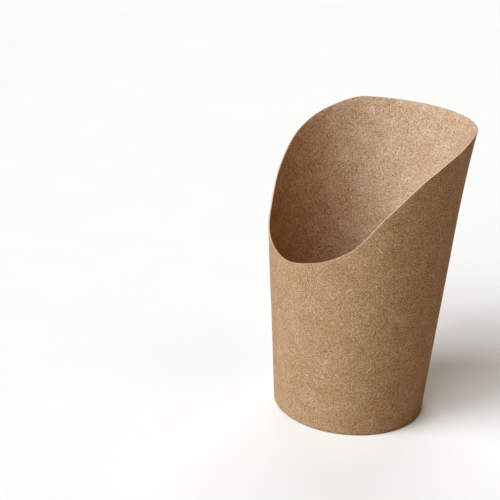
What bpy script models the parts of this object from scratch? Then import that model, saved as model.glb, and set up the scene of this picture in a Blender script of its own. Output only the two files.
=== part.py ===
"""Paper scoop cup for chips: a rolled wall with a tall back and a low front, folded under its base.

Metres, +Z up. The cup stands on z = 0 with its low front towards -Y. The lap of the wall runs up the
middle of the tall back, at +Y. Angles go round the cup's axis from +Y towards +X.
"""

import math

import bmesh
import bpy
from mathutils import Vector

MM = 0.001
TURN = 2.0 * math.pi

# Board and fit
BOARD = 0.5 * MM  # thickness of the kraft board, the same in both pieces
FIT_GAP = 0.3 * MM  # between the base and the wall on either side of it
GLUE_GAP = 0.1 * MM  # between the two layers of the lap

# Wall
FOOT_RADIUS = 30.2 * MM  # outer face of the wall, carried down to the table
WALL_TAPER = 0.0775  # growth of that radius for each unit of height
SPRING_START = 80.0 * MM  # the tall back springs open a little above this height
SPRING_OPEN = 1.3 * MM  # by this much at its top
HEM_HEIGHT = 7.0 * MM  # top of the hem that is turned in and up under the base

# Rim: height of the cut edge at angles from the middle of the back, the same on both sides
RIM_CUT = (
    (0.0, 118.0 * MM),
    (52.0, 118.0 * MM),
    (75.0, 113.5 * MM),
    (95.0, 106.0 * MM),
    (115.0, 93.0 * MM),
    (135.0, 78.0 * MM),
    (157.0, 71.0 * MM),
    (180.0, 68.0 * MM),
)

# Base
BASE_HEIGHT = 8.5 * MM  # top face of the base above the table
BASE_BEND = 0.8 * MM  # radius of the bend between the disc and its skirt, at mid thickness
SKIRT_FOOT = 1.7 * MM  # lowest edge of the skirt, inside the fold

# Lap
LAP_HALF = math.radians(6.5)  # half the angle in which the wall is two layers thick
LAP_EASE = math.radians(5.0)  # angle in which the layers below the lap step inwards

# Facets
LAP_STEPS = 4
EASE_STEPS = 3
ROUND_STEPS = 72
WALL_STEPS = 8
FOLD_STEPS = (2, 1, 2)  # down, the flat that stands on the table, and up again
BEND_STEPS = 3
DISC_STEPS = 2
CUT_EDGE_ANGLE = math.radians(50.0)  # edges that turn by more than this are drawn sharp

# Worked out from the above
LEAN = math.atan(WALL_TAPER)
LAYER = BOARD + GLUE_GAP  # how far one layer of the lap lies inside the other
FOLD_RADIUS = BOARD + FIT_GAP  # of the fold round the skirt, at mid thickness
FLAT_HALF = math.radians(18.0)  # half the angle of the fold that is pressed flat on the table
BACK_HEIGHT = RIM_CUT[0][1]
FRONT_HEIGHT = RIM_CUT[-1][1]


def outer_radius(height):
    """Radius of the wall's outer face: a straight taper that springs open near the top of the back."""
    spring = max(height - SPRING_START, 0.0) / (BACK_HEIGHT - SPRING_START)
    return FOOT_RADIUS + WALL_TAPER * height + SPRING_OPEN * spring**2


# The axis stands off the middle so that the cup's box is centred on the origin
AXIS = Vector((0.0, (outer_radius(FRONT_HEIGHT) - outer_radius(BACK_HEIGHT)) / 2.0, 0.0))


def from_back(angle):
    """The same direction as a turn from the middle of the back, between -half and half a turn."""
    return (angle + TURN / 2.0) % TURN - TURN / 2.0


def rim_height(angle):
    """Height of the rim: a smooth curve through the cut's points, with no rise or dip between them."""
    turned = math.degrees(abs(from_back(angle)))
    rises = [(high[1] - low[1]) / (high[0] - low[0]) for low, high in zip(RIM_CUT, RIM_CUT[1:])]
    slopes = [0.0]
    for before, after in zip(rises, rises[1:]):
        slopes.append(2.0 * before * after / (before + after) if before * after > 0.0 else 0.0)
    slopes.append(0.0)
    i = min(sum(point[0] <= turned for point in RIM_CUT[1:]), len(rises) - 1)
    width = RIM_CUT[i + 1][0] - RIM_CUT[i][0]
    t = (turned - RIM_CUT[i][0]) / width
    return (
        RIM_CUT[i][1] * (1.0 + 2.0 * t) * (1.0 - t) ** 2
        + RIM_CUT[i + 1][1] * (3.0 - 2.0 * t) * t**2
        + slopes[i] * width * t * (1.0 - t) ** 2
        + slopes[i + 1] * width * (t - 1.0) * t**2
    )


def lap_share(angle):
    """1 within the lap, easing to 0 on both sides of it."""
    share = (LAP_HALF + LAP_EASE - abs(from_back(angle))) / LAP_EASE
    share = min(max(share, 0.0), 1.0)
    return share**2 * (3.0 - 2.0 * share)


def round_point(angle, radius, height):
    """Point at this angle, distance from the axis and height."""
    return AXIS + Vector((radius * math.sin(angle), radius * math.cos(angle), height))


def layer_radius(height, depth):
    """Radius at this height of a layer that lies this deep behind the wall's outer face."""
    return outer_radius(height) - depth / math.cos(LEAN)


def spread(stops, steps):
    """Values from stop to stop, with the given number of even steps in each stretch."""
    values = [stops[0]]
    for low, high, count in zip(stops, stops[1:], steps):
        values += [low + (high - low) * (i + 1) / count for i in range(count)]
    return values


# Angles of the board's columns: the lap's under layer, its ease, once round, ease, and the top layer
LAP_STOPS = (
    -LAP_HALF,
    LAP_HALF,
    LAP_HALF + LAP_EASE,
    TURN - LAP_HALF - LAP_EASE,
    TURN - LAP_HALF,
    TURN + LAP_HALF,
)
LAP_COLUMNS = (LAP_STEPS, EASE_STEPS, ROUND_STEPS, EASE_STEPS, LAP_STEPS)
WALL_ANGLES = spread(LAP_STOPS, LAP_COLUMNS)
BASE_ANGLES = spread(LAP_STOPS[:-1], LAP_COLUMNS[:-1])

# Directions of the fold's points from its centre, below the horizontal: from the wall round to the hem
FOLD_STOPS = (LEAN, TURN / 4.0 - FLAT_HALF, TURN / 4.0 + FLAT_HALF, TURN / 2.0 + LEAN)
FOLD_ANGLES = spread(FOLD_STOPS, FOLD_STEPS)


def wall_section(angle):
    """Points (radius, height) of the wall's middle surface: hem top, down, round the fold, up to the rim."""
    share = lap_share(angle)
    under = share if angle < TURN / 2.0 else 0.0
    over = share if angle > TURN / 2.0 else 0.0
    depth = BOARD / 2.0 + LAYER * under
    fold = FOLD_RADIUS + LAYER * over
    centre_height = (fold + LAYER * under) * math.cos(FLAT_HALF) + BOARD / 2.0
    centre_radius = layer_radius(centre_height, depth + fold)
    points = [(layer_radius(HEM_HEIGHT, depth + 2.0 * fold), HEM_HEIGHT)]
    for turned in reversed(FOLD_ANGLES):
        points.append((centre_radius + fold * math.cos(turned), centre_height - fold * math.sin(turned)))
    start = points[-1][1]
    rise = rim_height(angle) - start
    for i in range(WALL_STEPS):
        height = start + rise * (i + 1) / WALL_STEPS
        points.append((layer_radius(height, depth), height))
    return points


def base_section(angle):
    """Points (radius, height) of the base's middle surface: skirt foot, up, round the bend, to the axis."""
    depth = BOARD + FIT_GAP + BOARD / 2.0 + LAYER * lap_share(angle)
    bend_height = BASE_HEIGHT - BOARD / 2.0 - BASE_BEND
    bend_radius = layer_radius(bend_height, depth) - BASE_BEND
    points = [(layer_radius(SKIRT_FOOT, depth), SKIRT_FOOT)]
    for turned in spread((0.0, TURN / 4.0), (BEND_STEPS,)):
        radius = bend_radius + BASE_BEND * math.cos(turned)
        points.append((radius, bend_height + BASE_BEND * math.sin(turned)))
    disc_height = bend_height + BASE_BEND
    points += [(radius, disc_height) for radius in spread((bend_radius, 0.0), (DISC_STEPS,))[1:]]
    return points


def shaped_blank(name, angles, section, collection, material):
    """A flat grid of board, bent so that each column is the section at its angle, then made solid."""
    sections = [section(angle) for angle in angles]
    columns = len(angles) - 1
    rows = len(sections[0]) - 1
    blank = bmesh.new()
    bmesh.ops.create_grid(blank, x_segments=columns, y_segments=rows, size=0.5)
    for vert in blank.verts:
        column = round((vert.co.x + 0.5) * columns)
        row = round((vert.co.y + 0.5) * rows)
        vert.co = round_point(angles[column], *sections[column][row])
    bmesh.ops.remove_doubles(blank, verts=blank.verts, dist=0.01 * MM)
    bmesh.ops.recalc_face_normals(blank, faces=blank.faces)
    mesh = bpy.data.meshes.new(name)
    blank.to_mesh(mesh)
    blank.free()
    mesh.materials.append(material)
    piece = bpy.data.objects.new(name, mesh)
    collection.objects.link(piece)
    board = piece.modifiers.new("Board", "SOLIDIFY")
    board.thickness = BOARD
    board.offset = 0.0
    board.use_even_offset = True
    bpy.context.view_layer.objects.active = piece
    bpy.ops.object.modifier_apply(modifier=board.name)
    piece.data.shade_smooth()
    piece.data.set_sharp_from_angle(angle=CUT_EDGE_ANGLE)


def kraft(name, colour):
    """Uncoated brown kraft board: no metal and hardly any shine."""
    material = bpy.data.materials.new(name)
    material.use_nodes = True
    material.diffuse_color = (*colour, 1.0)
    shader = material.node_tree.nodes["Principled BSDF"]
    shader.inputs["Base Color"].default_value = (*colour, 1.0)
    shader.inputs["Roughness"].default_value = 0.85
    shader.inputs["Metallic"].default_value = 0.0
    return material


def main():
    for startup_object in list(bpy.data.objects):
        bpy.data.objects.remove(startup_object, do_unlink=True)
    cup = bpy.data.collections.new("scoop_cup")
    bpy.context.scene.collection.children.link(cup)
    shaped_blank("wall", WALL_ANGLES, wall_section, cup, kraft("kraft_board", (0.42, 0.26, 0.15)))
    shaped_blank("base", BASE_ANGLES, base_section, cup, kraft("kraft_base", (0.40, 0.25, 0.14)))


if __name__ == "__main__":
    main()
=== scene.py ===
"""The looks of a paper scoop cup: a rolled kraft wall with a tall back and a low front, and its base.

Metres, +Z up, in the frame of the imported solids. The cup stands on z = 0 with its low front towards -Y,
and the lap of its wall runs up the middle of the tall back, at +Y.
"""

import logging
import math
from collections.abc import Callable, Iterator
from contextlib import contextmanager
from dataclasses import dataclass
from enum import Enum

import bmesh
import bpy
from mathutils import Matrix, Vector


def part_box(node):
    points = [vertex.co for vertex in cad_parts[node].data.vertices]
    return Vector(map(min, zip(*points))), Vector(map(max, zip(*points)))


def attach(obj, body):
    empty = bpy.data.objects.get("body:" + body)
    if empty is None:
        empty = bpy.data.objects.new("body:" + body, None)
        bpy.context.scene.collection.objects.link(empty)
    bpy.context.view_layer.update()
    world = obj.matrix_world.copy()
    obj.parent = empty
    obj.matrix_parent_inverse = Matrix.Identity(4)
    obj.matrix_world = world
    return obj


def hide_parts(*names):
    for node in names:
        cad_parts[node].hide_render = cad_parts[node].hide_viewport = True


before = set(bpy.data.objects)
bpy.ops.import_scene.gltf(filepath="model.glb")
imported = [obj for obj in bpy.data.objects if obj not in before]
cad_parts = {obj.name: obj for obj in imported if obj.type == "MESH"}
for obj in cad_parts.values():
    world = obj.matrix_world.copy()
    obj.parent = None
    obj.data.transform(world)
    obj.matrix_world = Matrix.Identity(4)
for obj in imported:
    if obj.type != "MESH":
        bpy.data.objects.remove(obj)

MM = 0.001
TURN = 2.0 * math.pi
BODY = "root"
BLANK_UV = "blank"
SAME_PLACE = 0.01 * MM  # points closer than this are one

# Blender's own
NOISE_MEAN = 0.5  # mean of its noise and of its random draws, which go from 0 to 1
COMBINED_CURVE = 3  # number of the film's curve for all three colours at once

log = logging.getLogger("scoop_cup")


# ---------------------------------------------------------------------------------------------------
# Working by hand: selecting, edit mode and finishing
# ---------------------------------------------------------------------------------------------------


def only(*pieces: bpy.types.Object) -> None:
    """Selects these objects and nothing else, and makes the first of them active.

    Args:
        pieces: the objects to select.
    """
    bpy.ops.object.select_all(action="DESELECT")
    for piece in pieces:
        piece.select_set(True)
    bpy.context.view_layer.objects.active = pieces[0]


@contextmanager
def editing(piece: bpy.types.Object) -> Iterator[None]:
    """Edit mode on one piece, with nothing selected in it at the start.

    Args:
        piece: the object to edit.
    """
    only(piece)
    bpy.ops.object.mode_set(mode="EDIT")
    bpy.ops.mesh.select_mode(type="VERT")
    bpy.ops.mesh.select_all(action="DESELECT")
    yield
    bpy.ops.object.mode_set(mode="OBJECT")


def pick(piece: bpy.types.Object, test: Callable[[Vector], bool]) -> None:
    """Selects the points of the edited piece that lie where the test says, and the edges between them.

    Args:
        piece: the object in edit mode.
        test: says whether a point at this place is wanted.
    """
    bpy.ops.mesh.select_all(action="DESELECT")
    mesh = bmesh.from_edit_mesh(piece.data)
    for point in mesh.verts:
        point.select = test(point.co)
    mesh.select_flush(True)
    bmesh.update_edit_mesh(piece.data)


@contextmanager
def picked(points: list[bmesh.types.BMVert]) -> Iterator[None]:
    """Selects these points for the operators inside the block, and lets go of them again.

    Args:
        points: points of the edited mesh, none of which is selected yet.
    """
    for point in points:
        point.select = True
    yield
    for point in points:
        point.select = False


def apply_modifier(piece: bpy.types.Object, kind: str, **settings: object) -> None:
    """Adds a modifier to a piece and applies it.

    Args:
        piece: the object it goes on.
        kind: the modifier's type.
        settings: its settings, by their names.
    """
    only(piece)
    modifier = piece.modifiers.new(kind.title(), kind)
    for name, value in settings.items():
        setattr(modifier, name, value)
    bpy.ops.object.modifier_apply(modifier=modifier.name)


def weigh(piece: bpy.types.Object, name: str, weight: Callable[[Vector], float]) -> str:
    """Gives a piece a vertex group whose weights follow from each point's place.

    Args:
        piece: the object that gets the group.
        name: the group's name.
        weight: the weight at a place, from 0 to 1.

    Returns:
        The group's name.
    """
    group = piece.vertex_groups.new(name=name)
    for point in piece.data.vertices:
        group.add([point.index], weight(point.co), "REPLACE")
    return group.name


def ease(share: float) -> float:
    """Smooth step from 0 to 1 as the share goes from 0 to 1."""
    share = min(max(share, 0.0), 1.0)
    return share**2 * (3.0 - 2.0 * share)


# ---------------------------------------------------------------------------------------------------
# Finishes
# ---------------------------------------------------------------------------------------------------


def linear(colour: str) -> tuple[float, float, float, float]:
    """Turns an sRGB hex colour into the linear values that shaders take, by the curve that sRGB gives.

    Args:
        colour: six hex digits after a #.

    Returns:
        Red, green, blue and a full alpha, linear.
    """
    parts = [int(colour[i : i + 2], 16) / 255.0 for i in (1, 3, 5)]
    red, green, blue = (c / 12.92 if c <= 0.04045 else ((c + 0.055) / 1.055) ** 2.4 for c in parts)
    return red, green, blue, 1.0


def add(
    tree: bpy.types.NodeTree, kind: str, inputs: dict[str | int, object] | None = None, **settings: object
) -> bpy.types.Node:
    """Adds a node to a tree with its settings, values and links.

    Args:
        tree: the node tree.
        kind: the node's type.
        inputs: for each input's name or number, a value or the output socket that feeds it.
        settings: the node's own settings, by their names.

    Returns:
        The new node.
    """
    node = tree.nodes.new(kind)
    for name, value in settings.items():
        setattr(node, name, value)
    for name, value in (inputs or {}).items():
        if isinstance(value, bpy.types.NodeSocket):
            tree.links.new(value, node.inputs[name])
        else:
            node.inputs[name].default_value = value
    return node


@dataclass(frozen=True)
class Fibres:
    """One layer of short fibres, lying every way in the sheet. Real ones are 0.02 to 0.04 mm wide, too
    fine to show, so the ones drawn here stand for small bundles of them.

    Attributes:
        cell: the room that one fibre has, in mm.
        length: its length, in mm.
        width: its width, in mm.
        share: how many of the cells hold one.
        strength: how much it lightens the board, or darkens it where negative.
        shift: moves the layer in the sheet, in mm, so that no two layers fall together.
    """

    cell: float
    length: float
    width: float
    share: float
    strength: float
    shift: float


@dataclass(frozen=True)
class KraftBoard:
    """Unbleached kraft board, machine made and uncoated: long brown pine fibres felted every which way.
    To the eye it is matt and warm brown, cloudy where the pulp lay thicker, in places a little yellower
    and in places a little pinker, with pale and dark fibres.

    Attributes:
        name: the material's name.
        dark, board, pale: colours of the darkest fibres, of the board itself and of the palest fibres.
        yellower, pinker: what the board's colour is multiplied by where the pulp varies in hue.
        hue_span: the share of the varying pulp, from 0 to 1, at which it is fully yellower, and pinker.
        hue_size: of the patches of one hue, in mm.
        clouds, cloud_size: how strongly the thickness of the pulp shows, and its size, in mm.
        grain, grain_size: how strongly the felt of the surface shows, and its size, in mm: the finest that
            a render of the whole cup can show.
        contrast: how strongly all of the pattern shows; above 1, the extra is painted shade of the fibres'
            relief where light grazes the face.
        relief: height of the fibres on the surface.
        shift: moves the whole pattern in the sheet, in mm, so that two faces differ.
        curl: how much the fibres may bend, for each mm from their middle.
        core: the middle share of a fibre's width and length, where it shows in full.
        roughness: of the surface.
        gloss: how much it mirrors; loose fibres hardly do.
        fibres: the layers of fibres that show one by one.
    """

    name: str
    dark: str
    board: str
    pale: str
    yellower: str = "#fffff6"
    pinker: str = "#fffcff"
    hue_span: tuple[float, float] = (0.3, 0.7)
    hue_size: float = 7.0
    clouds: float = 0.22
    cloud_size: float = 7.0
    grain: float = 0.9
    grain_size: float = 0.42
    contrast: float = 1.0
    relief: float = 0.05 * MM
    shift: float = 0.0
    curl: float = 0.4
    core: float = 0.4
    roughness: float = 0.82
    gloss: float = 0.2
    fibres: tuple[Fibres, ...] = (
        Fibres(cell=1.4, length=1.4, width=0.3, share=0.9, strength=0.16, shift=3.0),
        Fibres(cell=2.1, length=2.3, width=0.3, share=0.9, strength=0.16, shift=17.0),
        Fibres(cell=3.4, length=3.6, width=0.28, share=0.9, strength=0.16, shift=113.0),
        Fibres(cell=1.4, length=1.4, width=0.32, share=0.9, strength=-0.18, shift=31.0),
        Fibres(cell=2.1, length=2.3, width=0.32, share=0.9, strength=-0.2, shift=47.0),
        Fibres(cell=3.2, length=3.4, width=0.3, share=0.9, strength=-0.2, shift=131.0),
        Fibres(cell=16.0, length=4.5, width=0.4, share=0.4, strength=0.45, shift=59.0),
        Fibres(cell=12.0, length=1.5, width=0.45, share=0.3, strength=0.3, shift=97.0),
        Fibres(cell=9.0, length=1.8, width=0.42, share=0.35, strength=-0.4, shift=73.0),
    )

    PLAIN = 0.5  # the tone of the board itself, half way from its darkest fibres to its palest

    def material(self) -> bpy.types.Material:
        """Makes the board's material from the sheet's own coordinates.

        Returns:
            The material.
        """
        material = bpy.data.materials.new(self.name)
        material.use_nodes = True
        tree = material.node_tree
        shader = tree.nodes["Principled BSDF"]
        sheet = self._sheet(tree)
        tone = self._tone(tree, sheet)
        ramp = add(tree, "ShaderNodeValToRGB", {"Fac": tone})
        ramp.color_ramp.elements[0].color = linear(self.dark)
        ramp.color_ramp.elements[1].color = linear(self.pale)
        ramp.color_ramp.elements.new(self.PLAIN).color = linear(self.board)
        colour = add(
            tree,
            "ShaderNodeMix",
            {0: 1.0, 6: ramp.outputs["Color"], 7: self._hue(tree, sheet)},
            data_type="RGBA",
            blend_type="MULTIPLY",
        )
        relief = add(tree, "ShaderNodeBump", {"Height": tone, "Distance": self.relief})
        tree.links.new(colour.outputs[2], shader.inputs["Base Color"])
        tree.links.new(relief.outputs["Normal"], shader.inputs["Normal"])
        shader.inputs["Roughness"].default_value = self.roughness
        shader.inputs["Specular IOR Level"].default_value = self.gloss
        return material

    def _sheet(self, tree: bpy.types.NodeTree) -> bpy.types.NodeSocket:
        """Reads each place's own place in the flat sheet.

        Args:
            tree: the material's nodes.

        Returns:
            The socket that carries it, in mm.
        """
        flat = add(tree, "ShaderNodeUVMap", uv_map=BLANK_UV).outputs[0]
        to_mm = (1.0 / MM,) * 3
        moved = (self.shift, self.shift, 0.0)
        place = add(tree, "ShaderNodeMapping", {"Vector": flat, "Scale": to_mm, "Location": moved})
        return place.outputs[0]

    def _hue(self, tree: bpy.types.NodeTree, sheet: bpy.types.NodeSocket) -> bpy.types.NodeSocket:
        """Where the pulp is yellower or pinker.

        Args:
            tree: the material's nodes.
            sheet: place in the flat sheet, in mm.

        Returns:
            The socket that carries the colour to multiply the board's by.
        """
        noise = add(
            tree,
            "ShaderNodeTexNoise",
            {"Vector": sheet, "Scale": 1.0 / self.hue_size, "Detail": 4.0, "Roughness": 0.75},
            noise_dimensions="2D",
        )
        ramp = add(tree, "ShaderNodeValToRGB", {"Fac": noise.outputs["Fac"]})
        ends = zip(ramp.color_ramp.elements, self.hue_span, (self.yellower, self.pinker))
        for element, position, colour in ends:
            element.position = position
            element.color = linear(colour)
        return ramp.outputs["Color"]

    def _tone(self, tree: bpy.types.NodeTree, sheet: bpy.types.NodeSocket) -> bpy.types.NodeSocket:
        """How light the board is at each place: 0 as its darkest fibres, 1 as its palest.

        Args:
            tree: the material's nodes.
            sheet: place in the flat sheet, in mm.

        Returns:
            The socket that carries it.
        """
        marks: list[tuple[bpy.types.NodeSocket, float]] = []
        pulp = (self.cloud_size, 4.0, self.clouds)
        felt = (self.grain_size, 2.0, self.grain)
        for size, detail, strength in (pulp, felt):
            noise = add(
                tree,
                "ShaderNodeTexNoise",
                {"Vector": sheet, "Scale": 1.0 / size, "Detail": detail},
                noise_dimensions="2D",
            ).outputs["Fac"]
            mark = add(tree, "ShaderNodeMath", {0: noise, 1: NOISE_MEAN}, operation="SUBTRACT").outputs[0]
            marks.append((mark, strength))
        for layer in self.fibres:
            marks.append((self._fibre_mask(tree, sheet, layer), layer.strength))
        tone: bpy.types.NodeSocket | float = self.PLAIN
        for mark, strength in marks:
            laid_on = {0: mark, 1: strength * self.contrast, 2: tone}
            tone = add(tree, "ShaderNodeMath", laid_on, operation="MULTIPLY_ADD").outputs[0]
        return tone

    def _fibre_mask(
        self, tree: bpy.types.NodeTree, sheet: bpy.types.NodeSocket, layer: Fibres
    ) -> bpy.types.NodeSocket:
        """Where the fibres of one layer lie.

        Args:
            tree: the material's nodes.
            sheet: place in the flat sheet, in mm.
            layer: the layer of fibres.

        Returns:
            The socket that is 1 on a fibre and 0 beside it.
        """
        math_node = "ShaderNodeMath"
        shift = (layer.shift, layer.shift * 2.0, 0.0)
        moved = add(tree, "ShaderNodeVectorMath", {0: sheet, 1: shift}, operation="ADD").outputs[0]
        one_in = {"Vector": moved, "Scale": 1.0 / layer.cell}
        cells = add(tree, "ShaderNodeTexVoronoi", one_in, voronoi_dimensions="2D").outputs
        middle = cells["Position"]

        # Each cell's random colour draws its fibre: red turns it, green leaves some out, blue bends it
        draw = add(tree, "ShaderNodeSeparateColor", {"Color": cells["Color"]}).outputs
        angle = add(tree, math_node, {0: draw["Red"], 1: TURN}, operation="MULTIPLY").outputs[0]
        held = add(tree, math_node, {0: draw["Green"], 1: layer.share}, operation="LESS_THAN").outputs[0]
        curve = add(tree, math_node, {0: draw["Blue"], 1: NOISE_MEAN}, operation="SUBTRACT").outputs[0]
        curl = add(tree, math_node, {0: curve, 1: self.curl}, operation="MULTIPLY").outputs[0]

        # Distances along the fibre and across it, from its middle
        turned = add(
            tree,
            "ShaderNodeVectorRotate",
            {"Vector": moved, "Center": middle, "Angle": angle},
            rotation_type="Z_AXIS",
        ).outputs[0]
        offset = add(tree, "ShaderNodeVectorMath", {0: turned, 1: middle}, operation="SUBTRACT").outputs[0]
        along, across, _ = add(tree, "ShaderNodeSeparateXYZ", {0: offset}).outputs
        squared = add(tree, math_node, {0: along, 1: along}, operation="MULTIPLY").outputs[0]
        bend = {0: squared, 1: curl, 2: across}
        bent = add(tree, math_node, bend, operation="MULTIPLY_ADD").outputs[0]

        mask = held
        for place, reach in ((bent, layer.width / 2.0), (along, layer.length / 2.0)):
            distance = add(tree, math_node, {0: place}, operation="ABSOLUTE").outputs[0]
            inside = add(
                tree,
                "ShaderNodeMapRange",
                {"Value": distance, "From Min": reach, "From Max": reach * self.core},
                interpolation_type="SMOOTHSTEP",
            ).outputs[0]
            mask = add(tree, math_node, {0: mask, 1: inside}, operation="MULTIPLY").outputs[0]
        return mask


OUTSIDE_FACE = KraftBoard("kraft_outside", dark="#664930", board="#9c7b5c", pale="#d1b190")
INSIDE_FACE = KraftBoard(
    "kraft_inside",
    dark="#7b5940",
    board="#b39275",
    pale="#dec1a6",
    # The inside's grain is drawn stronger than the outside's: the extra is painted shade of the fibres'
    # relief, where the light grazes the inside face
    contrast=1.35,
    relief=0.07 * MM,
    shift=211.0,
)


@dataclass(frozen=True)
class CutEdge:
    """The board's edge as the die leaves it: paler than its faces, because the cut opens the fibres.

    Attributes:
        name: the material's name.
        low, high: colours of the darkest and of the palest of the broken fibres.
        grit: size of the broken fibres, drawn coarser than the real ones so that they show.
        roughness: of the edge.
        gloss: how much it mirrors; broken fibres hardly do.
    """

    name: str = "kraft_cut_edge"
    low: str = "#ab8c6f"
    high: str = "#cfb496"
    grit: float = 0.4 * MM
    roughness: float = 0.9
    gloss: float = 0.2

    def material(self) -> bpy.types.Material:
        """Makes the edge's material from the piece's own place, because a cut has no face of the sheet.

        Returns:
            The material.
        """
        material = bpy.data.materials.new(self.name)
        material.use_nodes = True
        tree = material.node_tree
        shader = tree.nodes["Principled BSDF"]
        place = add(tree, "ShaderNodeTexCoord").outputs["Object"]
        noise = add(tree, "ShaderNodeTexNoise", {"Vector": place, "Scale": 1.0 / self.grit, "Detail": 2.0})
        ramp = add(tree, "ShaderNodeValToRGB", {"Fac": noise.outputs["Fac"]})
        ramp.color_ramp.elements[0].color = linear(self.low)
        ramp.color_ramp.elements[1].color = linear(self.high)
        tree.links.new(ramp.outputs["Color"], shader.inputs["Base Color"])
        shader.inputs["Roughness"].default_value = self.roughness
        shader.inputs["Specular IOR Level"].default_value = self.gloss
        return material


CUT_EDGE = CutEdge()


class BoardFace(Enum):
    """The faces of a sheet of board, by their material slots."""

    OUTSIDE = 0
    INSIDE = 1
    CUT = 2


# ---------------------------------------------------------------------------------------------------
# The cup
# ---------------------------------------------------------------------------------------------------


@dataclass(frozen=True)
class Board:
    """The sheet that both pieces are made of.

    Attributes:
        thickness: of the board.
        cut_round: how much the die rounds the cut edges.
        sharp: edges that turn by more than this stay sharp.
    """

    thickness: float = 0.5 * MM
    cut_round: float = 0.06 * MM
    sharp: float = math.radians(40.0)

    def thicken(self, piece: bpy.types.Object) -> None:
        """Gives the sheet its thickness on both sides, with its cut edges rounded a little.

        Args:
            piece: the sheet's middle surface, its faces pointing out of the cup.
        """
        for finish in (OUTSIDE_FACE, INSIDE_FACE, CUT_EDGE):
            known = bpy.data.materials.get(finish.name)
            piece.data.materials.append(known or finish.material())
        apply_modifier(
            piece,
            "SOLIDIFY",
            thickness=self.thickness,
            offset=0.0,
            use_even_offset=True,
            material_offset=BoardFace.INSIDE.value,
            material_offset_rim=BoardFace.CUT.value,
        )
        apply_modifier(
            piece,
            "BEVEL",
            width=self.cut_round,
            segments=2,
            limit_method="ANGLE",
            angle_limit=self.sharp,
        )
        only(piece)
        bpy.ops.object.shade_smooth_by_angle(angle=self.sharp)


class LapEnd(Enum):
    """The two ends of the rolled sheet, and the side of the cup that each comes round."""

    UNDER = 1  # round by +X, and on the inside at the lap
    OVER = -1  # round by -X, and on the outside at the lap


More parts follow.
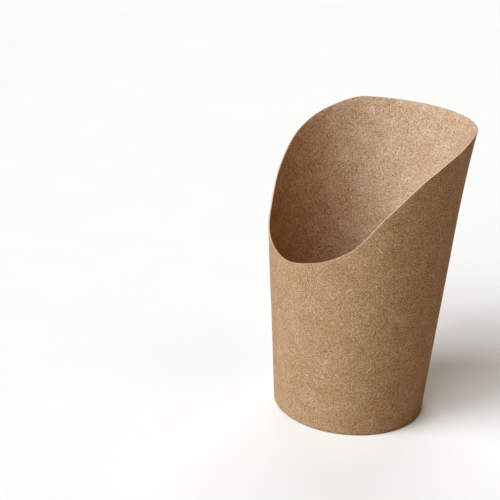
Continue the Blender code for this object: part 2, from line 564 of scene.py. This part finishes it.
@dataclass
class Wall:
    """The wall: one sheet rolled into a tapered cup, lapped up its back, and turned in and up at its foot.
    Heights are above the table. Angles go round the cup's axis from the front, where nothing else is said.
    """

    board: Board
    foot_radius: float = 30.2 * MM  # outer face, carried down to the table
    taper: float = 0.0775  # growth of that radius for each unit of height
    spring_start: float = 80.0 * MM  # the tall back springs open above this height
    spring_open: float = 1.3 * MM  # by this much at its top
    hem_height: float = 7.0 * MM  # top of the hem, inside the foot
    fold_radius: float = 0.8 * MM  # of the fold at the foot, at mid thickness
    flat_half: float = math.radians(18.0)  # half of the fold that is pressed flat on the table
    layer: float = 0.6 * MM  # how far one layer of the lap lies inside the other
    lap_half: float = math.radians(6.5)  # half the angle in which the wall is two layers thick
    lap_ease: float = math.radians(5.0)  # angle in which a layer steps in or out beside the lap
    unevenness: float = 0.3 * MM  # from the deepest dent to the highest swell of the rolled sheet
    unevenness_size: float = 34.0 * MM
    held_round: float = 28.0 * MM  # the unevenness grows over this height, because the base holds the foot
    columns: int = 150  # in each half
    rows: int = 48
    fold_points: int = 32  # in a whole circle of the fold's radius

    # Rim: height of the cut at degrees from the middle of the back, the same on both sides
    rim_cut: tuple[tuple[float, float], ...] = (
        (0.0, 118.0 * MM),
        (52.0, 118.0 * MM),
        (75.0, 113.5 * MM),
        (95.0, 106.0 * MM),
        (115.0, 93.0 * MM),
        (135.0, 78.0 * MM),
        (157.0, 71.0 * MM),
        (180.0, 68.0 * MM),
    )

    @property
    def back_height(self) -> float:
        """Height of the tall back."""
        return self.rim_cut[0][1]

    @property
    def lean(self) -> float:
        """How far the wall leans out from upright."""
        return math.atan(self.taper)

    @property
    def axis(self) -> Vector:
        """Foot of the cup's axis, off the middle so that the cup's box is centred on the origin."""
        front = self.outer_radius(self.rim_cut[-1][1])
        return Vector((0.0, (front - self.outer_radius(self.back_height)) / 2.0, 0.0))

    @property
    def fold_centre(self) -> tuple[float, float]:
        """Radius and height of the middle of the fold."""
        height = self.fold_radius * math.cos(self.flat_half) + self.board.thickness / 2.0
        depth = self.board.thickness / 2.0 + self.fold_radius
        return self.foot_radius + self.taper * height - depth / math.cos(self.lean), height

    def outer_radius(self, height: float) -> float:
        """Radius of the wall's outer face.

        Args:
            height: above the table.

        Returns:
            The radius from the cup's axis.
        """
        spring = max(height - self.spring_start, 0.0) / (self.back_height - self.spring_start)
        return self.foot_radius + self.taper * height + self.spring_open * spring**2

    def rim_height(self, from_back: float) -> float:
        """Height of the rim: a smooth curve through the cut's points, with no rise or dip between them.

        Args:
            from_back: angle from the middle of the back.

        Returns:
            The height above the table.
        """
        turned = math.degrees(abs(from_back))
        rises = [(b[1] - a[1]) / (b[0] - a[0]) for a, b in zip(self.rim_cut, self.rim_cut[1:])]
        slopes = [0.0]
        for before, after in zip(rises, rises[1:]):
            slopes.append(2.0 * before * after / (before + after) if before * after > 0.0 else 0.0)
        slopes.append(0.0)
        i = min(sum(point[0] <= turned for point in self.rim_cut[1:]), len(rises) - 1)
        (start, low), (end, high) = self.rim_cut[i : i + 2]
        width = end - start
        t = (turned - start) / width
        return (
            low * (1.0 + 2.0 * t) * (1.0 - t) ** 2
            + high * (3.0 - 2.0 * t) * t**2
            + slopes[i] * width * t * (1.0 - t) ** 2
            + slopes[i + 1] * width * (t - 1.0) * t**2
        )

    def turned(self, place: Vector, end: LapEnd) -> float:
        """Angle of a place round the axis, from the front towards this end of the sheet.

        Args:
            place: the point.
            end: the end of the sheet that the angle grows towards.

        Returns:
            The angle, up to a little more than half a turn.
        """
        angle = math.atan2(end.value * place.x, self.axis.y - place.y)
        return angle if angle > -TURN / 4.0 else angle + TURN

    def build(self) -> bpy.types.Object:
        """Models the wall in two halves from the front, joins them and gives the sheet its thickness.

        Returns:
            The finished piece.
        """
        halves = [self._half(end) for end in LapEnd]
        only(*halves)
        bpy.ops.object.join()
        wall = halves[0]
        wall.name = "rolled_wall"
        wall.data.name = wall.name
        with editing(wall):
            pick(wall, lambda place: abs(place.x) < SAME_PLACE and place.y < self.axis.y)
            bpy.ops.mesh.remove_doubles(threshold=SAME_PLACE)
            bpy.ops.mesh.select_all(action="SELECT")
            bpy.ops.mesh.normals_make_consistent(inside=False)
        self._spring_open(wall)
        self.board.thicken(wall)
        return wall

    def _half(self, end: LapEnd) -> bpy.types.Object:
        """Models the half of the sheet from the front to one of its ends.

        Args:
            end: the end of the sheet.

        Returns:
            The half, as its middle surface.
        """
        half = self._section()
        angle = TURN / 2.0 + self.lap_half
        with editing(half):
            bpy.ops.mesh.select_all(action="SELECT")
            swept = -end.value * angle
            bpy.ops.mesh.spin(steps=self.columns, angle=swept, center=self.axis, axis=(0.0, 0.0, 1.0))
            bpy.ops.mesh.select_all(action="DESELECT")
            mesh = bmesh.from_edit_mesh(half.data)
            step = angle / self.columns
            columns: list[list[bmesh.types.BMVert]] = [[] for _ in range(self.columns + 1)]
            for point in mesh.verts:
                columns[round(self.turned(point.co, end) / step)].append(point)
            for i, column in enumerate(columns):
                self._shape_column(column, i * step, end)
            self._lay_out_blank(mesh, end)
        return half

    def _section(self) -> bpy.types.Object:
        """Models the section at the front: the fold from half a circle, the hem and the wall from its ends.

        Returns:
            The section, as a chain of edges in the plane x = 0.
        """
        radius, height = self.fold_centre
        centre = Vector((0.0, self.axis.y - radius, height))
        wall_side = Vector((0.0, -math.cos(self.lean), -math.sin(self.lean)))
        up = Vector((0.0, -math.sin(self.lean), math.cos(self.lean)))
        bpy.ops.mesh.primitive_circle_add(
            vertices=self.fold_points,
            radius=self.fold_radius,
            location=centre,
            rotation=(TURN / 4.0, self.lean, -TURN / 4.0),
        )
        bpy.ops.object.transform_apply(location=True, rotation=True, scale=True)
        section = bpy.context.object
        fold_tip = centre + self.fold_radius * wall_side
        with editing(section):
            pick(section, lambda place: (place - centre).dot(up) > SAME_PLACE)
            bpy.ops.mesh.delete(type="VERT")
            for side, top in ((1.0, self.back_height), (-1.0, self.hem_height)):
                tip = centre + side * self.fold_radius * wall_side
                pick(section, lambda place, tip=tip: (place - tip).length < SAME_PLACE)
                rise = top - tip.z
                bpy.ops.mesh.extrude_vertices_move(
                    TRANSFORM_OT_translate={"value": (0.0, -self.taper * rise, rise)}
                )
            pick(section, lambda place: place.y < fold_tip.y + SAME_PLACE)
            bpy.ops.mesh.subdivide(number_cuts=self.rows - 1)
            flat = self.board.thickness / 2.0
            pick(section, lambda place: place.z < flat)
            bpy.ops.transform.resize(value=(1.0, 1.0, 0.0), center_override=(0.0, 0.0, flat))
        return section

    def _shape_column(self, column: list[bmesh.types.BMVert], angle: float, end: LapEnd) -> None:
        """Cuts one column of the half to the rim, and lays it in or round the other end at the lap.

        Args:
            column: the column's points.
            angle: where it stands, from the front.
            end: the end of the sheet that the half runs to.
        """
        from_back = TURN / 2.0 - angle
        radius, height = self.fold_centre
        out = Vector((end.value * math.sin(angle), -math.cos(angle), 0.0))
        tip = self.axis + out * (radius + self.fold_radius * math.cos(self.lean))
        tip.z = height - self.fold_radius * math.sin(self.lean)
        wall = [point for point in column if point.co.z > tip.z and (point.co - tip).dot(out) > 0.0]
        hem = [point for point in column if point.co.z > height + self.fold_radius and point not in wall]
        fold = [point for point in column if point not in wall and point not in hem]
        cut = (self.rim_height(from_back) - tip.z) / (self.back_height - tip.z)
        if cut < 1.0:
            with picked(wall):
                bpy.ops.transform.resize(value=(cut, cut, cut), center_override=tip)
        share = ease((self.lap_half + self.lap_ease - abs(from_back)) / self.lap_ease)
        if share == 0.0:
            return
        step = self.layer * share
        inwards = -out * step / math.cos(self.lean)
        up = Vector((0.0, 0.0, step * math.cos(self.flat_half)))
        if end is LapEnd.UNDER:
            with picked(column):
                bpy.ops.transform.translate(value=inwards)
            with picked(fold):
                bpy.ops.transform.translate(value=up)
            return
        # The outer layer's fold is wider by one step, so its hem lies two steps further in
        wider = 1.0 + step / self.fold_radius
        centre = self.axis + out * radius + Vector((0.0, 0.0, height))
        with picked(fold):
            bpy.ops.transform.resize(value=(wider, wider, wider), center_override=centre)
            bpy.ops.transform.translate(value=inwards + up)
        with picked(hem):
            bpy.ops.transform.translate(value=2.0 * inwards)

    def _lay_out_blank(self, mesh: bmesh.types.BMesh, end: LapEnd) -> None:
        """Gives the half the places that its points have in the flat, fan-shaped blank, as its UV map.

        Args:
            mesh: the half in edit mode.
            end: the end of the sheet that the half runs to.
        """
        places = mesh.loops.layers.uv.new(BLANK_UV)
        slope = math.sin(self.lean)
        apex = self.foot_radius / slope
        for face in mesh.faces:
            for loop in face.loops:
                turned = self.turned(loop.vert.co, end) * end.value * slope
                reach = apex + self._up_the_sheet(loop.vert.co)
                loop[places].uv = (reach * math.sin(turned), reach * math.cos(turned) - apex)

    def _up_the_sheet(self, place: Vector) -> float:
        """How far up the flat blank a place lies from the start of the wall. The hem lies below it.

        Args:
            place: a point of the middle surface.

        Returns:
            The distance, negative in the fold and the hem.
        """
        centre_radius, centre_height = self.fold_centre
        across = (place - self.axis).to_2d().length - centre_radius
        above = place.z - centre_height
        if above > 0.0 and across < 0.0:
            return -math.pi * self.fold_radius - above
        if above > 0.0:
            return above
        return -self.fold_radius * math.atan2(-above, across)

    def _spring_open(self, wall: bpy.types.Object) -> None:
        """Lets the tall back spring open at its top, and takes the perfect roundness off the wall.

        Args:
            wall: the joined sheet, as its middle surface.
        """
        start, reach = self.spring_start, self.back_height - self.spring_start
        springs = weigh(wall, "springs", lambda place: min(max((place.z - start) / reach, 0.0), 1.0) ** 2)
        apply_modifier(wall, "DISPLACE", strength=self.spring_open, mid_level=0.0, vertex_group=springs)
        free = weigh(wall, "free", lambda place: ease((place.z - self.hem_height) / self.held_round))
        clouds = bpy.data.textures.new("unevenness", "CLOUDS")
        clouds.noise_scale = self.unevenness_size
        apply_modifier(
            wall,
            "DISPLACE",
            texture=clouds,
            texture_coords="LOCAL",
            strength=self.unevenness,
            mid_level=0.5,
            vertex_group=free,
        )
        wall.vertex_groups.clear()


@dataclass
class Base:
    """The base: a disc of the same board with a skirt turned down all round, held in the wall's fold."""

    board: Board
    wall: Wall
    top: float = 8.5 * MM  # top face of the disc above the table
    bend: float = 0.8 * MM  # radius of the bend between the disc and its skirt, at mid thickness
    skirt_foot: float = 1.7 * MM  # lowest edge of the skirt, inside the wall's fold
    gap: float = 0.15 * MM  # between the skirt and the wall
    sag: float = 0.35 * MM  # the disc dips by this much in its middle
    points: int = 288  # round the disc
    rings: int = 6  # from the disc's edge to its middle
    bend_steps: int = 6

    @property
    def middle(self) -> float:
        """Height of the disc at mid thickness."""
        return self.top - self.board.thickness / 2.0

    @property
    def flat_radius(self) -> float:
        """Radius of the part of the disc that stays clear of the bend."""
        return self.radius(self.middle) - 2.0 * self.bend

    def radius(self, height: float) -> float:
        """Radius of the skirt at mid thickness, carried up to any height."""
        depth = self.board.thickness + self.gap + self.board.thickness / 2.0
        return self.wall.outer_radius(height) - depth / math.cos(self.wall.lean)

    def build(self) -> bpy.types.Object:
        """Models the base from a disc: its skirt drawn down, its corner bent round, its back let in.

        Returns:
            The finished piece.
        """
        rim = self.radius(self.middle)
        bpy.ops.mesh.primitive_circle_add(
            vertices=self.points,
            radius=rim,
            fill_type="NGON",
            location=self.wall.axis + Vector((0.0, 0.0, self.middle)),
        )
        bpy.ops.object.transform_apply(location=True, rotation=True, scale=True)
        base = bpy.context.object
        base.name = "pressed_base"
        base.data.name = base.name
        with editing(base):
            bpy.ops.mesh.select_all(action="SELECT")
            for _ in range(self.rings):
                bpy.ops.mesh.inset(thickness=rim / (self.rings + 1.0))
            bpy.ops.mesh.poke()
            drop = self.skirt_foot - self.middle
            pick(base, lambda place: self._across(place) > rim - SAME_PLACE)
            bpy.ops.mesh.extrude_edges_move(TRANSFORM_OT_translate={"value": (0.0, 0.0, drop)})
            narrower = self.radius(self.skirt_foot) / rim
            bpy.ops.transform.resize(value=(narrower, narrower, 1.0), center_override=self.wall.axis)
            pick(base, lambda place: min(place.z - self.middle, self._across(place) - rim) > -SAME_PLACE)
            bpy.ops.mesh.bevel(offset=self.bend, segments=self.bend_steps, affect="EDGES")
            self._let_in_lap(base)
            self._sag(base)
            bpy.ops.mesh.select_all(action="SELECT")
            bpy.ops.mesh.normals_make_consistent(inside=False)
            self._lay_out_blank(base)
        self.board.thicken(base)
        return base

    def _across(self, place: Vector) -> float:
        """Distance of a place from the cup's axis."""
        return (place - self.wall.axis).to_2d().length

    def _let_in_lap(self, base: bpy.types.Object) -> None:
        """Moves the skirt in where the wall's lap is two layers thick.

        Args:
            base: the base in edit mode.
        """
        bpy.ops.mesh.select_all(action="DESELECT")
        mesh = bmesh.from_edit_mesh(base.data)
        reach = self.wall.lap_half + self.wall.lap_ease
        columns: dict[int, list[bmesh.types.BMVert]] = {}
        for point in mesh.verts:
            out = point.co - self.wall.axis
            angle = math.atan2(out.x, out.y)
            if abs(angle) < reach and self._across(point.co) > self.flat_radius:
                columns.setdefault(round(angle * self.points / TURN), []).append(point)
        for i, column in columns.items():
            angle = i * TURN / self.points
            share = ease((reach - abs(angle)) / self.wall.lap_ease)
            step = self.wall.layer * share / math.cos(self.wall.lean)
            with picked(column):
                bpy.ops.transform.translate(value=(-step * math.sin(angle), -step * math.cos(angle), 0.0))

    def _sag(self, base: bpy.types.Object) -> None:
        """Lets the disc dip towards its middle.

        Args:
            base: the base in edit mode.
        """
        pick(base, lambda place: self._across(place) < SAME_PLACE)
        bpy.ops.transform.translate(
            value=(0.0, 0.0, -self.sag),
            use_proportional_edit=True,
            proportional_edit_falloff="SMOOTH",
            proportional_size=self.flat_radius,
        )

    def _lay_out_blank(self, base: bpy.types.Object) -> None:
        """Gives the base the places that its points have in the flat, round blank, as its UV map.

        Args:
            base: the base in edit mode.
        """
        mesh = bmesh.from_edit_mesh(base.data)
        places = mesh.loops.layers.uv.new(BLANK_UV)
        for face in mesh.faces:
            for loop in face.loops:
                out = (loop.vert.co - self.wall.axis).to_2d()
                drop = self.middle - loop.vert.co.z
                reach = out.length + max(drop - self.sag, 0.0)
                loop[places].uv = out.normalized() * reach if out.length > SAME_PLACE else out


# ---------------------------------------------------------------------------------------------------
# The studio
# ---------------------------------------------------------------------------------------------------


def towards(azimuth: float, elevation: float) -> Vector:
    """Direction from the cup towards something round it.

    Args:
        azimuth: in degrees, 0 in front of the cup, at -Y, and growing towards +X.
        elevation: in degrees above the horizon.

    Returns:
        The direction, one unit long.
    """
    turn, rise = math.radians(azimuth), math.radians(elevation)
    return Vector((math.sin(turn) * math.cos(rise), -math.cos(turn) * math.cos(rise), math.sin(rise)))


@dataclass(frozen=True)
class SoftLight:
    """A broad soft light, far enough away to light the whole floor evenly.

    Attributes:
        name: the light's name.
        azimuth, elevation: where it hangs, in degrees, as towards() takes them.
        strength: in watts for each square metre that faces it.
        width: how wide it is, in degrees, as the cup sees it.
        colour: of its light: a slightly cool daylight, where nothing else is said.
    """

    name: str
    azimuth: float
    elevation: float
    strength: float
    width: float
    colour: str = "#e9f4ff"

    def hang(self) -> None:
        """Hangs the light in its place."""
        light = bpy.data.lights.new(self.name, "SUN")
        light.energy = self.strength
        light.color = linear(self.colour)[:3]
        light.angle = math.radians(self.width)
        lamp = bpy.data.objects.new(self.name, light)
        bpy.context.scene.collection.objects.link(lamp)
        out = towards(self.azimuth, self.elevation)
        lamp.location = out
        lamp.rotation_euler = out.to_track_quat("Z", "Y").to_euler()


@dataclass(frozen=True)
class PaperSweep:
    """The warm white paper that the cup stands on: matt, faintly cloudy, with a fine tooth.

    Attributes:
        name: the material's name.
        low, high: its darkest and its palest white.
        thrown_back: its colour for the light that it throws back on the cup. This is duller than it shows,
            so that the cup's shaded side stays as deep as in the photograph.
        cloud: size of its clouds.
        tooth: size of its tooth. The real one is finer, and wouldn't show.
        relief: height of the tooth.
        roughness: of the paper.
    """

    name: str = "white_paper_sweep"
    low: str = "#f5efe8"
    high: str = "#faf4ec"
    thrown_back: str = "#dad4ca"
    cloud: float = 50.0 * MM
    tooth: float = 0.9 * MM
    relief: float = 0.02 * MM
    roughness: float = 0.85

    def material(self) -> bpy.types.Material:
        """Makes the paper's material from places on the floor.

        Returns:
            The material.
        """
        material = bpy.data.materials.new(self.name)
        material.use_nodes = True
        tree = material.node_tree
        shader = tree.nodes["Principled BSDF"]
        place = add(tree, "ShaderNodeTexCoord").outputs["Object"]
        cloud = add(tree, "ShaderNodeTexNoise", {"Vector": place, "Scale": 1.0 / self.cloud, "Detail": 3.0})
        tooth = add(tree, "ShaderNodeTexNoise", {"Vector": place, "Scale": 1.0 / self.tooth, "Detail": 1.0})
        ramp = add(tree, "ShaderNodeValToRGB", {"Fac": cloud.outputs["Fac"]})
        ramp.color_ramp.elements[0].color = linear(self.low)
        ramp.color_ramp.elements[1].color = linear(self.high)
        relief = add(tree, "ShaderNodeBump", {"Height": tooth.outputs["Fac"], "Distance": self.relief})
        bounced = add(tree, "ShaderNodeLightPath").outputs["Is Diffuse Ray"]
        colour = add(
            tree,
            "ShaderNodeMix",
            {0: bounced, 6: ramp.outputs["Color"], 7: linear(self.thrown_back)},
            data_type="RGBA",
        )
        tree.links.new(colour.outputs[2], shader.inputs["Base Color"])
        tree.links.new(relief.outputs["Normal"], shader.inputs["Normal"])
        shader.inputs["Roughness"].default_value = self.roughness
        return material


@dataclass
class Studio:
    """A plain pale floor before a white backdrop, broad soft lights round the cup, and a film.

    Attributes:
        floor_size: width of the floor, in metres, enough to reach the horizon.
        paper: what the floor is made of.
        backdrop: what shows above the horizon, as white as the floor.
        room_colour, room_strength: the faint warm light of the room, which reaches the cup from all sides.
        lights: the lights. The side one is warm, as if it came off the cup's own board.
        film: the film's answer to light, as pairs of linear values. It deepens the shade, and with it the
            board's warmth.
    """

    floor_size: float = 60.0
    paper: PaperSweep = PaperSweep()
    backdrop: str = "#fcfbfa"
    room_colour: str = "#ffc896"
    room_strength: float = 0.06
    lights: tuple[SoftLight, ...] = (
        SoftLight("key", azimuth=-11.5, elevation=30.0, strength=3.63, width=36.0),
        SoftLight("front", azimuth=20.0, elevation=41.0, strength=1.7, width=38.0),
        SoftLight("side", azimuth=125.0, elevation=52.0, strength=0.31, width=40.0, colour="#ffe4b0"),
        SoftLight("rear", azimuth=232.0, elevation=38.0, strength=0.97, width=40.0),
    )
    film: tuple[tuple[float, float], ...] = (
        (0.0, 0.0),
        (0.02, 0.012),
        (0.04, 0.0265),
        (0.06, 0.0445),
        (0.12, 0.105),
        (0.22, 0.22),
        (1.0, 1.0),
    )

    def build(self) -> None:
        """Lays the floor, lights the room, hangs the lights and sets the film."""
        bpy.ops.mesh.primitive_plane_add(size=self.floor_size)
        floor = bpy.context.object
        floor.name = "floor"
        floor.data.materials.append(self.paper.material())
        self._light_room()
        for light in self.lights:
            light.hang()
        self._develop()

    def _light_room(self) -> None:
        """Fills the room with its faint light, and stands the backdrop behind all that is seen."""
        world = bpy.data.worlds.new("studio")
        world.use_nodes = True
        tree = world.node_tree
        room = tree.nodes["Background"]
        room.inputs["Color"].default_value = linear(self.room_colour)
        room.inputs["Strength"].default_value = self.room_strength
        backdrop = add(tree, "ShaderNodeBackground", {"Color": linear(self.backdrop)})
        seen = add(tree, "ShaderNodeLightPath").outputs["Is Camera Ray"]
        both = add(tree, "ShaderNodeMixShader", {0: seen, 1: room.outputs[0], 2: backdrop.outputs[0]})
        tree.links.new(both.outputs[0], tree.nodes["World Output"].inputs["Surface"])
        bpy.context.scene.world = world

    def _develop(self) -> None:
        """Shows the picture as it is, apart from the film's answer to light."""
        view = bpy.context.scene.view_settings
        view.view_transform = "Standard"
        view.use_curve_mapping = True
        curve = view.curve_mapping.curves[COMBINED_CURVE]
        black, *shades, white = self.film
        curve.points[0].location = black
        curve.points[-1].location = white
        for light, shown in shades:
            curve.points.new(light, shown)
        view.curve_mapping.update()


@dataclass(frozen=True)
class PhotoCamera:
    """The camera as it stood for the photograph, found by fitting it and the cup to the cup's outline.

    Attributes:
        azimuth, elevation: where it stands, in degrees, as towards() takes them.
        roll: how far it leans, in degrees.
        sensor: width of its sensor, in mm.
        lens: its focal length, in mm.
        distance: along the line of sight, to the foot of the cup's axis.
        picture: width and height of the photograph, in pixels.
        foot: where that foot lies in the photograph, in pixels from its upper left corner.
    """

    azimuth: float = 55.32
    elevation: float = 20.74
    roll: float = 2.48
    sensor: float = 36.0
    lens: float = 86.5
    distance: float = 494.5 * MM
    picture: float = 500.0
    foot: tuple[float, float] = (347.4, 399.3)

    def place(self, cup_foot: Vector) -> None:
        """Sets the camera up and makes it the scene's.

        Args:
            cup_foot: the foot of the cup's axis.
        """
        turn, lean = math.radians(self.azimuth), math.radians(self.roll)
        back = towards(self.azimuth, self.elevation)
        level = Vector((math.cos(turn), math.sin(turn), 0.0))
        upright = back.cross(level)
        right = level * math.cos(lean) + upright * math.sin(lean)
        up = upright * math.cos(lean) - level * math.sin(lean)
        pixel = self.distance * self.sensor / self.lens / self.picture
        across = (self.foot[0] - self.picture / 2.0) * pixel
        above = (self.picture / 2.0 - self.foot[1]) * pixel
        data = bpy.data.cameras.new("camera")
        data.sensor_width = self.sensor
        data.lens = self.lens
        camera = bpy.data.objects.new("camera", data)
        bpy.context.scene.collection.objects.link(camera)
        camera.location = cup_foot + back * self.distance - right * across - up * above
        camera.rotation_euler = Matrix((right, up, back)).transposed().to_euler()
        bpy.context.scene.camera = camera


def settle(piece: bpy.types.Object, node: str) -> None:
    """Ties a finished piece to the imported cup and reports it.

    Args:
        piece: the piece.
        node: the solid that it stands for.
    """
    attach(piece, BODY)
    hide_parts(node)
    piece.data.calc_loop_triangles()
    triangles = len(piece.data.loop_triangles)
    low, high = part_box(node)
    gaps = [min(places) - low[i] for i, places in enumerate(zip(*piece.bound_box))]
    gaps += [max(places) - high[i] for i, places in enumerate(zip(*piece.bound_box))]
    worst = max(abs(gap) for gap in gaps)
    log.info("%s: %d triangles, within %.2f mm of %s", piece.name, triangles, worst / MM, node)


def main() -> None:
    """Builds the cup, then the studio and the camera."""
    logging.basicConfig(level=logging.INFO, format="%(name)s: %(message)s")
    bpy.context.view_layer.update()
    board = Board()
    wall = Wall(board)
    settle(wall.build(), "wall")
    base = Base(board, wall)
    settle(base.build(), "base")
    Studio().build()
    PhotoCamera().place(wall.axis)


if __name__ == "__main__":
    main()
